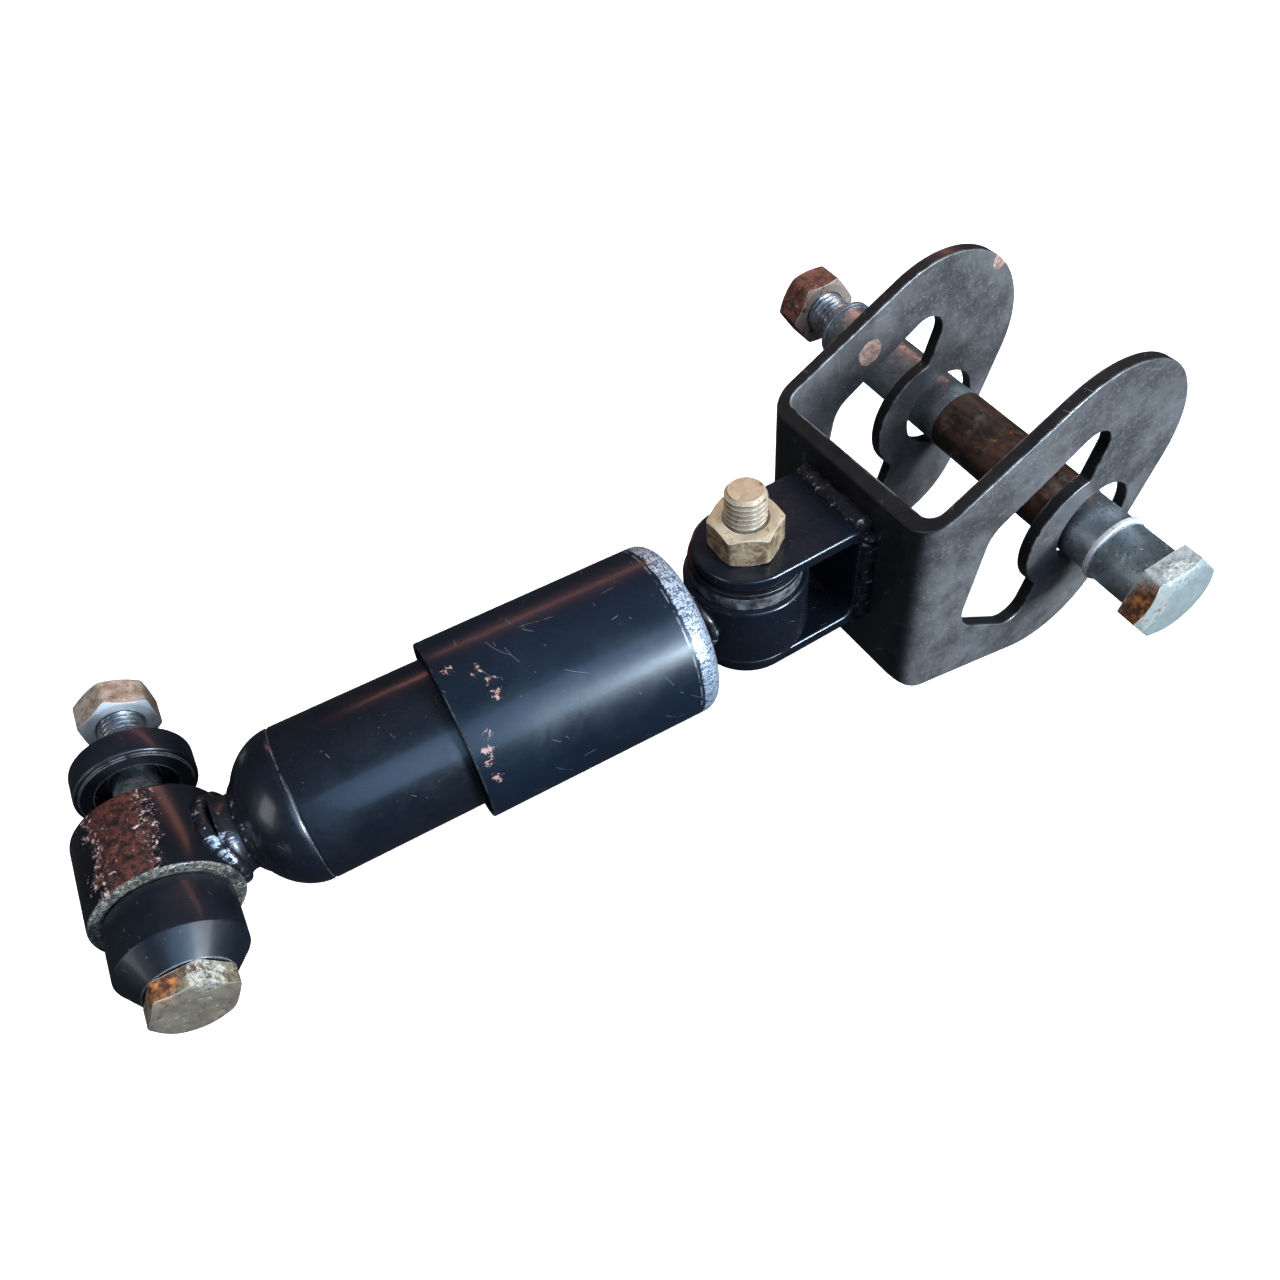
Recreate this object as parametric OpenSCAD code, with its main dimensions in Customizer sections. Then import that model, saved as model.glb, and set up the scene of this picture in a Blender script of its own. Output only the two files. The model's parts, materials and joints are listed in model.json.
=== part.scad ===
// Telescopic hydraulic damper arm with its mounting hardware.
// +X runs from the lower eye to the bracket, +Z is up along the clevis pin, and
// the origin is the centre of the lower eye. All sizes are in millimetres.

/* [Damper] */
// Lower eye centre to clevis pin centre, at mid stroke
pin_span = 200; // [195:1:215]
// Piston travel to each side of the shown length
half_stroke = 28; // [10:1:28]
// Outside diameter of the reserve tube
tube_od = 49.6; // [46:0.2:52]
// Outside diameter of the dust cover
cover_od = 59.6; // [58:0.2:64]
// Outside diameter of both mounting eyes
eye_od = 42; // [40:0.5:44]
// Length of the lower eye
lower_eye_len = 30; // [26:1:34]
// Length of the upper eye
upper_eye_len = 25; // [22:1:28]

/* [Bracket] */
// Swing of the bracket about the clevis pin
swing = 3; // [-20:0.5:20]
// Width over the two ears
bracket_w = 84; // [78:1:90]
// Plate thickness of the bracket and of the clevis
plate_t = 5; // [4:0.5:6]
// Hole in each ear
ear_hole_d = 32; // [30:0.5:34]

/* [Bolts] */
// Thread size of the lower bolt
lower_bolt_d = 14; // [12:2:14]
// Thread size of the clevis bolt
clevis_bolt_d = 14; // [12:2:14]
// Thread size of the through bolt
through_bolt_d = 18; // [16:2:18]

/* [Hidden] */
$fn = 72;

fit_gap = 0.05;      // radial clearance of a running fit
bolt_gap = 0.1;      // radial clearance of a bolt in its hole
face_gap = 0.2;      // clearance between faces that slide on each other
past = 1;            // how far a cut runs past the face that it opens
half_flat = 30;      // turn that brings a flat of a hexagon where its corner was

// Reserve tube and base cap
tube_r = tube_od / 2;
tube_wall = 2;
tube_start = 43;     // seam between the base cap and the tube
lip_t = 3;           // rolled lip that holds the rod guide
lip_r = 16;
cap_depth = 19.4;    // height of the domed base cap
cap_wall = 3;
neck_r = 12;
neck_flare = 5.5;    // how far the neck widens before it meets the cap
seam_groove = 0.5;

// Dust cover; full compression leaves end_gap between its plate and the tube
cover_r = cover_od / 2;
cover_wall = 1.5;
cover_start = 92;
cover_end = 174;
cover_corner_r = 6;
cover_cap_len = 9;
cover_plate_t = 2.5;
end_gap = 1.5;
tube_end = cover_end - cover_plate_t - half_stroke - end_gap;

// Inside the tube
pressure_r = 15.5;
pressure_bore_r = 14;
valve_t = 5;
valve_end = tube_start + valve_t;
guide_t = 9;
guide_end = tube_end - lip_t;
guide_start = guide_end - guide_t;
seal_t = 4;
seal_r = 12;

// Rod and piston
rod_r = 7;
rod_end_r = 5;
piston_t = 10;
piston_nut_h = 8;
piston_nut_af = 17;
rod_tail = 1.5;      // end of the rod that stands out of the piston nut
piston_x = (valve_end + guide_start + piston_nut_h + rod_tail - piston_t) / 2;
band_h = 4;
band_depth = 1;

// Eyes, bushes and sleeves
eye_r = eye_od / 2;
eye_bevel = 1.2;
lower_bore_r = 16.5;
lower_sleeve_r = 11;
lower_sleeve_len = lower_eye_len + 1;
upper_bore_r = 15.5;
upper_sleeve_r = 10;
bush_flange_r = 18.8;
weld_r = 3;          // radius of a weld bead

// Collars on the lower bolt; the lower one has a nose that tapers down to the bolt head
collar_r = 17.7;
collar_bevel = 0.6;
spigot_r = 16.2;
spigot_h = 1;
collar_bore_r = lower_bolt_d / 2 + 0.4;
counterbore_r = 12;
counterbore_h = 5;
lower_collar_len = 16;   // straight part
nose_len = 8;
nose_r = 12;
upper_collar_len = 10.5;
upper_collar_y = 30.5;

// Lower bolt: head to -Y, nut to +Y
lower_collar_y = -lower_sleeve_len / 2;
lower_under_y = lower_collar_y - lower_collar_len - nose_len;
lower_nut_y = 58.2;

// Clevis, in a frame with its pin on Z
clevis_mid_z = 1.5;
clevis_h = 46;
clevis_r = 18;
clevis_web_x = 38;   // outer face of the clevis web
clevis_bend_r = 9;
clevis_top_z = clevis_mid_z + clevis_h / 2;
clevis_bottom_z = clevis_mid_z - clevis_h / 2;
clevis_bolt_end_z = 47.2;
washer_t = 2;
washer_r = 19.2;

// Bracket, in the same frame: [x, z, radius] of the discs in its side outline
bracket_bend_r = 10;
web_x = clevis_web_x;        // the two webs lie back to back
ear_discs = [
    [web_x + 10.7, -31, 12.7],   // lower corner of the web
    [102.7, -24.1, 32.3],        // lower round of the ear
    [110.9, 26.5, 40.5],         // upper round of the ear
    [web_x + 1, 32, 3]           // upper corner of the web
];
slot_discs = [
    [88.6, -28.3, 7.3],          // lower end of the slot
    [106.3, 36, 8.1],            // upper end of the slot
    [77.1, 14.9, 11.1],          // back of the slot
    [75.4, -12.3, 13.6]
];
tongue = [114.5, -2.9, 24.8];    // round tongue inside the slot
ear_hole = [120, -2.2];
ear_far_x = 170;             // past the front edge of the ears
ear_span_z = 160;

// Through pin: head to -Y, nut to +Y, lying low and askew in the two ear holes
through_axis = [120.4, -4.2];
through_lean = -3;
through_under_y = -74.3;
through_nut_y = 118;
through_head_af = 30;        // wider than the nut
through_head_turn = -11;     // turn of the head and of the nut about the pin
through_nut_turn = -4;
sleeve_r = 12;
middle_sleeve_r = 12.3;
sleeve_bore_r = through_bolt_d / 2 + bolt_gap;
thin_washer_t = 2;
thin_washer_r = 13;
near_washer_y = -55.5;
near_joint_y = -36;
far_joint_y = 29;
far_sleeve_y = 100.5;

// Hexagon sizes follow the thread size: across flats, head height, nut height
function across_flats(d) = d == 18 ? 27 : d == 16 ? 24 : d == 14 ? 22 : 19;
function head_height(d) = d * 0.5;
function nut_height(d) = d * 0.8;
function corner_radius(af) = af / sqrt(3);

// Both ends of the line that touches discs a and b on the right, walking from a to b
function touching_line(a, b) =
    let (
        step = [b[0] - a[0], b[1] - a[1]],
        turn = atan2(step[1], step[0]) - acos((a[2] - b[2]) / norm(step)),
        out = [cos(turn), sin(turn)]
    )
    [[a[0], a[1]] + a[2] * out, [b[0], b[1]] + b[2] * out];

// Flat outline of a tight belt around discs [x, y, radius], listed anticlockwise
module belt(discs) {
    last = len(discs) - 1;
    polygon([for (i = [0:last]) each touching_line(discs[i], discs[i == last ? 0 : i + 1])]);
    for (disc = discs) translate([disc[0], disc[1]]) circle(r = disc[2]);
}

// A solid turned about X from [x, radius] points
module turned_x(points) {
    rotate([0, 90, 0]) rotate_extrude() polygon([for (p = points) [p[1], p[0]]]);
}

// Solid and hollow cylinders along X or Y, from one coordinate to another
module rod_x(x1, x2, r) {
    translate([x1, 0, 0]) rotate([0, 90, 0]) cylinder(r = r, h = x2 - x1);
}

module rod_y(y1, y2, r) {
    translate([0, y2, 0]) rotate([90, 0, 0]) cylinder(r = r, h = y2 - y1);
}

module tube_x(x1, x2, r, bore_r) {
    difference() {
        rod_x(x1, x2, r);
        rod_x(x1 - past, x2 + past, bore_r);
    }
}

module tube_y(y1, y2, r, bore_r) {
    difference() {
        rod_y(y1, y2, r);
        rod_y(y1 - past, y2 + past, bore_r);
    }
}

module tube_z(z1, z2, r, bore_r) {
    translate([0, 0, z1]) difference() {
        cylinder(r = r, h = z2 - z1);
        translate([0, 0, -past]) cylinder(r = bore_r, h = z2 - z1 + 2 * past);
    }
}

// Hexagon from z = 0 to h, with the corners turned off at one or both ends
module hexagon(af, h, both_ends) {
    corner = corner_radius(af);
    inner = af * 0.49;
    bevel = (corner - inner) * tan(30);
    low = both_ends ? inner : corner;
    low_bevel = both_ends ? bevel : 0;
    intersection() {
        cylinder(r = corner, h = h, $fn = 6);
        rotate_extrude() polygon([
            [0, 0], [low, 0], [corner, low_bevel],
            [corner, h - bevel], [inner, h], [0, h]
        ]);
    }
}

// Bolt along +Z: its head ends at z = 0 and the shank runs up to z = length
module bolt(d, length, head_af, turn) {
    end_bevel = d * 0.08;
    rotate([180, 0, turn]) hexagon(head_af, head_height(d), false);
    rotate_extrude() polygon([
        [0, -past], [d / 2, -past], [d / 2, length - end_bevel],
        [d / 2 - end_bevel, length], [0, length]
    ]);
}

module nut(d, turn) {
    rotate([0, 0, turn]) difference() {
        hexagon(across_flats(d), nut_height(d), true);
        translate([0, 0, -past]) cylinder(r = d / 2, h = nut_height(d) + 2 * past);
    }
}

// Frames that the moving groups are drawn in
module at_pin() {
    translate([pin_span, 0, 0]) children();
}

module at_bracket() {
    at_pin() rotate([0, 0, swing]) children();
}

module at_through_pin() {
    at_bracket() translate([through_axis[0], 0, through_axis[1]]) rotate([0, 0, through_lean]) children();
}

// ---- Damper body ----

module lower_eye() {
    half = lower_eye_len / 2;
    color("#16181c") rotate([90, 0, 0]) rotate_extrude() polygon([
        [lower_bore_r, -half], [eye_r - eye_bevel, -half], [eye_r, eye_bevel - half],
        [eye_r, half - eye_bevel], [eye_r - eye_bevel, half], [lower_bore_r, half]
    ]);
}

// Neck that joins the eye to the base cap, with its weld bead at the eye
module lower_eye_weld() {
    flare_x = eye_r + weld_r + neck_flare;
    color("#2a2d33") difference() {
        turned_x([
            [0, 0], [0, neck_r + weld_r], [eye_r, neck_r + weld_r],
            [eye_r + weld_r, neck_r], [flare_x, neck_r + neck_flare], [flare_x, 0]
        ]);
        rod_y(-lower_eye_len, lower_eye_len, eye_r);
        cap_dome(cap_depth, tube_r);
    }
}

// Solid dome whose flat side is the seam of the reserve tube
module cap_dome(depth, r) {
    turned_x(concat([for (a = [0:9:90]) [tube_start - depth * cos(a), r * sin(a)]], [[tube_start, 0]]));
}

module base_cap() {
    color("#111419") difference() {
        cap_dome(cap_depth, tube_r);
        cap_dome(cap_depth - cap_wall, tube_r - cap_wall);
        tube_x(tube_start - seam_groove, tube_start + past, tube_r + past, tube_r - seam_groove);
    }
}

module reserve_tube() {
    bore_r = tube_r - tube_wall;
    color("#0f1218") turned_x([
        [tube_start, bore_r], [tube_start, tube_r - seam_groove],
        [tube_start + seam_groove, tube_r], [tube_end - lip_t, tube_r],
        [tube_end, tube_r - lip_t], [tube_end, lip_r],
        [guide_end, lip_r], [guide_end, bore_r]
    ]);
}

module pressure_tube() {
    color("#9aa0a6") tube_x(valve_end, guide_start, pressure_r, pressure_bore_r);
}

module base_valve() {
    hole_r = 1.5;
    hole_ring_r = 18.5;
    color("#8b8f94") difference() {
        rod_x(tube_start, valve_end, tube_r - tube_wall);
        for (a = [0:60:300])
            rotate([a, 0, 0]) translate([0, 0, hole_ring_r])
                rod_x(tube_start - past, valve_end + past, hole_r);
    }
}

module rod_guide() {
    color("#7d8187") difference() {
        rod_x(guide_start, guide_end, tube_r - tube_wall);
        rod_x(guide_start - past, guide_end + past, rod_r + fit_gap);
        rod_x(guide_end - seal_t, guide_end + past, seal_r);
    }
}

module rod_seal() {
    color("#2b2320") tube_x(guide_end - seal_t, guide_end, seal_r, rod_r + fit_gap);
}

module lower_bush() {
    color("#1d1b1a")
        tube_y(-lower_eye_len / 2, lower_eye_len / 2, lower_bore_r, lower_sleeve_r + fit_gap);
}

// ---- Lower bolt group ----

module lower_inner_sleeve() {
    color("#8c8476") tube_y(
        -lower_sleeve_len / 2, lower_sleeve_len / 2, lower_sleeve_r, lower_bolt_d / 2 + bolt_gap);
}

module lower_collar() {
    nose_end = lower_collar_len + nose_len - face_gap;
    color("#14161a") translate([0, lower_collar_y, 0]) rotate([90, 0, 0]) rotate_extrude() polygon([
        [collar_bore_r, 0], [collar_r, 0], [collar_r, lower_collar_len],
        [nose_r, nose_end], [collar_bore_r, nose_end]
    ]);
}

// Loose collar, with its spigot and counterbore towards the eye
module upper_collar() {
    color("#14161a") translate([0, upper_collar_y, 0]) rotate([-90, 0, 0]) difference() {
        rotate_extrude() polygon([
            [collar_bore_r, 0], [spigot_r, 0], [spigot_r, spigot_h], [collar_r - collar_bevel, spigot_h],
            [collar_r, spigot_h + collar_bevel], [collar_r, upper_collar_len - collar_bevel],
            [collar_r - collar_bevel, upper_collar_len], [collar_bore_r, upper_collar_len]
        ]);
        translate([0, 0, -past]) cylinder(r = counterbore_r, h = counterbore_h + past);
    }
}

module lower_bolt() {
    length = lower_nut_y - lower_under_y + nut_height(lower_bolt_d) - 1;
    color("#b5a26a") translate([0, lower_under_y, 0]) rotate([-90, 0, 0])
        bolt(lower_bolt_d, length, across_flats(lower_bolt_d), 0);
}

module lower_nut() {
    color("#a9b4bd") translate([0, lower_nut_y, 0]) rotate([-90, 0, 0]) nut(lower_bolt_d, half_flat);
}

// ---- Piston and rod ----

module piston() {
    band_x = piston_x + (piston_t - band_h) / 2;
    color("#8f8a80") difference() {
        rod_x(piston_x, piston_x + piston_t, pressure_bore_r - fit_gap - band_depth / 2);
        rod_x(piston_x - past, piston_x + piston_t + past, rod_end_r + fit_gap);
        tube_x(band_x, band_x + band_h, pressure_bore_r + past, pressure_bore_r - fit_gap - band_depth);
    }
}

module piston_band() {
    band_x = piston_x + (piston_t - band_h) / 2;
    color("#5c3a22") tube_x(
        band_x, band_x + band_h, pressure_bore_r - fit_gap, pressure_bore_r - fit_gap - band_depth);
}

module piston_nut() {
    color("#8b8f94") translate([piston_x - piston_nut_h, 0, 0]) rotate([0, 90, 0]) difference() {
        hexagon(piston_nut_af, piston_nut_h, true);
        translate([0, 0, -past]) cylinder(r = rod_end_r + fit_gap, h = piston_nut_h + 2 * past);
    }
}

module piston_rod() {
    color("#c9ccd0") difference() {
        union() {
            rod_x(piston_x - piston_nut_h - rod_tail, piston_x + piston_t + face_gap, rod_end_r);
            rod_x(piston_x + piston_t + face_gap, pin_span - upper_bore_r, rod_r);
        }
        at_pin() cylinder(r = eye_r, h = upper_eye_len + 2, center = true);
    }
}

module dust_cover() {
    color("#10151d") tube_x(cover_start, cover_end - cover_cap_len, cover_r, cover_r - cover_wall);
}

// Pressed end of the dust cover, with a rounded shoulder
module cover_cap() {
    centre_x = cover_end - cover_corner_r;
    centre_r = cover_r - cover_corner_r;
    inner_r = cover_corner_r - cover_wall;
    color("#3a3f47") difference() {
        turned_x(concat(
            [[cover_end - cover_cap_len, 0], [cover_end - cover_cap_len, cover_r]],
            [for (a = [90:-10:0]) [centre_x + cover_corner_r * cos(a), centre_r + cover_corner_r * sin(a)]],
            [[cover_end, 0]]
        ));
        turned_x([
            [cover_end - cover_cap_len - past, 0],
            [cover_end - cover_cap_len - past, cover_r - cover_wall],
            [centre_x, cover_r - cover_wall],
            [cover_end - cover_plate_t, centre_r],
            [cover_end - cover_plate_t, 0]
        ]);
        rod_x(cover_end - cover_corner_r, cover_end + past, rod_r);
    }
}

module upper_eye() {
    half = upper_eye_len / 2;
    color("#15171b") at_pin() rotate_extrude() polygon([
        [upper_bore_r, -half], [eye_r - eye_bevel, -half], [eye_r, eye_bevel - half],
        [eye_r, half - eye_bevel], [eye_r - eye_bevel, half], [upper_bore_r, half]
    ]);
}

// Weld bead round the rod, between the cover and the upper eye
module upper_eye_weld() {
    bead_r = rod_r + weld_r;
    color("#2a2d33") difference() {
        rod_x(cover_end, pin_span - upper_bore_r, bead_r);
        rod_x(cover_end - past, pin_span, rod_r);
        at_pin() cylinder(r = eye_r, h = upper_eye_len + 2, center = true);
    }
}

module upper_bush() {
    half = upper_eye_len / 2;
    bore_r = upper_sleeve_r + fit_gap;
    top = clevis_top_z - plate_t - washer_t - 2 * face_gap;
    bottom = clevis_bottom_z + plate_t + washer_t + 2 * face_gap;
    color("#1b1a1a") at_pin() rotate_extrude() polygon([
        [bore_r, bottom], [bush_flange_r, bottom], [bush_flange_r, -half], [upper_bore_r, -half],
        [upper_bore_r, half], [bush_flange_r, half], [bush_flange_r, top], [bore_r, top]
    ]);
}

// ---- Clevis and bracket group ----

module upper_inner_sleeve() {
    color("#7a756b") at_bracket() tube_z(
        clevis_bottom_z + plate_t, clevis_top_z - plate_t, upper_sleeve_r, clevis_bolt_d / 2 + bolt_gap);
}

// One steel washer under each plate of the clevis
module thrust_washers() {
    bore_r = upper_sleeve_r + bolt_gap;
    color("#8a8f96") at_bracket() {
        tube_z(clevis_top_z - plate_t - washer_t, clevis_top_z - plate_t, washer_r, bore_r);
        tube_z(clevis_bottom_z + plate_t, clevis_bottom_z + plate_t + washer_t, washer_r, bore_r);
    }
}

// Side outline of the bent clevis strip, in X and Z
module clevis_side(inset) {
    corner_r = clevis_bend_r - inset;
    bend_x = clevis_web_x - clevis_bend_r;
    low_z = clevis_bottom_z + clevis_bend_r;
    high_z = clevis_top_z - clevis_bend_r;
    belt([
        [-2 * clevis_r, low_z, corner_r], [bend_x, low_z, corner_r],
        [bend_x, high_z, corner_r], [-2 * clevis_r, high_z, corner_r]
    ]);
}

module clevis() {
    color("#15181d") at_bracket() difference() {
        intersection() {
            translate([0, 0, clevis_bottom_z - past]) linear_extrude(clevis_h + 2 * past) union() {
                circle(r = clevis_r);
                translate([0, -clevis_r]) square([clevis_web_x + past, 2 * clevis_r]);
            }
            rotate([90, 0, 0]) linear_extrude(3 * clevis_r, center = true) difference() {
                clevis_side(0);
                clevis_side(plate_t);
            }
        }
        translate([0, 0, clevis_bottom_z - past])
            cylinder(r = clevis_bolt_d / 2 + bolt_gap, h = clevis_h + 2 * past);
    }
}

// Beads between the clevis and the bracket web: two across, two upright
module clevis_weld() {
    bead_r = 7;
    top = clevis_top_z - clevis_bend_r / 2;
    bottom = clevis_bottom_z + clevis_bend_r / 2;
    side_r = 5;
    color("#202329") at_bracket() difference() {
        union() {
            for (z = [top, bottom]) translate([web_x, 0, z]) rod_y(-clevis_r, clevis_r, bead_r);
            for (y = [-clevis_r, clevis_r])
                translate([web_x, y, bottom]) cylinder(r = side_r, h = top - bottom);
        }
        translate([web_x, -bracket_w, -ear_span_z / 2]) cube([bracket_w, 2 * bracket_w, ear_span_z]);
        rotate([90, 0, 0]) linear_extrude(2 * clevis_r, center = true) clevis_side(0);
    }
}

// Plan of the bent bracket plate, in X and Y, grown inwards by inset
module bracket_plan(inset) {
    half = bracket_w / 2 - bracket_bend_r;
    corner_r = bracket_bend_r - inset;
    bend_x = web_x + bracket_bend_r;
    belt([
        [bend_x, -half, corner_r], [ear_far_x, -half, corner_r],
        [ear_far_x, half, corner_r], [bend_x, half, corner_r]
    ]);
}

module through_ears() {
    rotate([90, 0, 0]) linear_extrude(2 * bracket_w, center = true) children();
}

module bracket() {
    color("#1a1c20") at_bracket() difference() {
        intersection() {
            translate([0, 0, -ear_span_z / 2]) linear_extrude(ear_span_z) difference() {
                bracket_plan(0);
                bracket_plan(plate_t);
            }
            through_ears() belt(ear_discs);
        }
        through_ears() difference() {
            belt(slot_discs);
            translate([tongue[0], tongue[1]]) circle(r = tongue[2]);
        }
        translate([ear_hole[0], 0, ear_hole[1]]) rod_y(-bracket_w, bracket_w, ear_hole_d / 2);
    }
}

module clevis_bolt() {
    color("#c9b98e") at_bracket() translate([0, 0, clevis_bottom_z])
        bolt(clevis_bolt_d, clevis_bolt_end_z - clevis_bottom_z, across_flats(clevis_bolt_d), 0);
}

module clevis_nut() {
    color("#cdbb8c") at_bracket() translate([0, 0, clevis_top_z]) nut(clevis_bolt_d, half_flat);
}

// ---- Through pin group ----

module through_bolt() {
    length = through_nut_y + nut_height(through_bolt_d) - through_under_y;
    color("#a5a08e") at_through_pin() translate([0, through_under_y, 0]) rotate([-90, 0, 0])
        bolt(through_bolt_d, length, through_head_af, through_head_turn);
}

module through_nut() {
    color("#6b3f2c") at_through_pin() translate([0, through_nut_y, 0]) rotate([-90, 0, 0])
        nut(through_bolt_d, through_nut_turn);
}

// The head side has a spacer, a thin washer and the sleeve in the near ear
module near_spacer() {
    color("#9fa8ad") at_through_pin() tube_y(through_under_y, near_washer_y, sleeve_r, sleeve_bore_r);
}

module near_washer() {
    color("#c8ccd0") at_through_pin()
        tube_y(near_washer_y, near_washer_y + thin_washer_t, thin_washer_r, sleeve_bore_r);
}

module near_sleeve() {
    color("#9fa8ad") at_through_pin()
        tube_y(near_washer_y + thin_washer_t, near_joint_y, sleeve_r, sleeve_bore_r);
}

module middle_sleeve() {
    color("#5b3322") at_through_pin() tube_y(near_joint_y, far_joint_y, middle_sleeve_r, sleeve_bore_r);
}

module far_sleeve() {
    color("#8f969a") at_through_pin() tube_y(far_joint_y, far_sleeve_y, sleeve_r, sleeve_bore_r);
}

module far_washer() {
    color("#a9adad") at_through_pin()
        tube_y(far_sleeve_y, far_sleeve_y + thin_washer_t, thin_washer_r, sleeve_bore_r);
}

lower_eye();
lower_eye_weld();
base_cap();
reserve_tube();
pressure_tube();
base_valve();
rod_guide();
rod_seal();
lower_bush();
lower_inner_sleeve();
lower_collar();
lower_bolt();
lower_nut();
upper_collar();
piston();
piston_band();
piston_nut();
piston_rod();
dust_cover();
cover_cap();
upper_eye();
upper_eye_weld();
upper_bush();
upper_inner_sleeve();
thrust_washers();
clevis();
clevis_weld();
bracket();
clevis_bolt();
clevis_nut();
through_bolt();
through_nut();
near_sleeve();
near_spacer();
near_washer();
middle_sleeve();
far_sleeve();
far_washer();
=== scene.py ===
import json
import math
import random
from collections import namedtuple
from functools import reduce

import bmesh
import bpy
from mathutils import Matrix, Vector, noise


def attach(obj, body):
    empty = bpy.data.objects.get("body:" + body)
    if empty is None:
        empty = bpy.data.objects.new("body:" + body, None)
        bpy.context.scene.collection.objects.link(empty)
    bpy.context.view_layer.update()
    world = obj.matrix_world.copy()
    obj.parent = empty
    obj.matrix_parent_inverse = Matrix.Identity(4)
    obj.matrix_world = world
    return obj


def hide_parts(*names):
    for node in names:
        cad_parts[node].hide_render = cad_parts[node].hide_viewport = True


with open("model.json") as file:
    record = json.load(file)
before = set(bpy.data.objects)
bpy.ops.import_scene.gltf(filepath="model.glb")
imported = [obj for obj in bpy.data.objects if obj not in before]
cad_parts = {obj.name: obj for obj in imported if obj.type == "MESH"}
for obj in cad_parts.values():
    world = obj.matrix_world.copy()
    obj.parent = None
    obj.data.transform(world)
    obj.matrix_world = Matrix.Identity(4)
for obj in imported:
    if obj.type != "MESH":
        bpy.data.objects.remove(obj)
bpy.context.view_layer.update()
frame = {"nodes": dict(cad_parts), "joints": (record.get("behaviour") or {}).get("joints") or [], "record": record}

MM = 0.001  # metres in a millimetre
TURN = 2 * math.pi
JOINTS = {joint["name"]: joint for joint in frame["joints"]}
BODIES = frame["record"]["behaviour"]["bodies"]
BODY_OF = {node: body for body, nodes in BODIES.items() for node in nodes}


# ---- Frames of the moving groups ----

def frame_matrix(origin, z_axis, x_hint):
    """Matrix whose Z runs along z_axis and whose X lies as near x_hint as it can."""
    z = Vector(z_axis).normalized()
    y = z.cross(Vector(x_hint)).normalized()
    x = y.cross(z)
    axes = Matrix((x, y, z)).transposed().to_4x4()
    return Matrix.Translation(Vector(origin)) @ axes


PIN = Vector(JOINTS["clevis_swing"]["pos_m"])
PIN_AXIS = Vector(JOINTS["pin_spin"]["axis"]).normalized()
LOWER_FRAME = frame_matrix((0, 0, 0), (0, 1, 0), (1, 0, 0))
THROUGH_FRAME = frame_matrix(JOINTS["pin_spin"]["pos_m"], PIN_AXIS, (1, 0, 0))
DAMPER_FRAME = frame_matrix((0, 0, 0), (1, 0, 0), (0, 1, 0))


def places_in(node, matrix):
    """Vertices of a CAD node in a frame, in metres."""
    inverse = matrix.inverted()
    return [inverse @ vertex.co for vertex in frame["nodes"][node].data.vertices]


def span_along(node, matrix):
    """Lowest and highest place of a node along the Z axis of a frame, in millimetres."""
    heights = [place.z for place in places_in(node, matrix)]
    return min(heights) / MM, max(heights) / MM


def radius_about(node, matrix):
    """Greatest distance of a node from the Z axis of a frame, in millimetres."""
    return max(place.xy.length for place in places_in(node, matrix)) / MM


# ---- Node material kit ----

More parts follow.
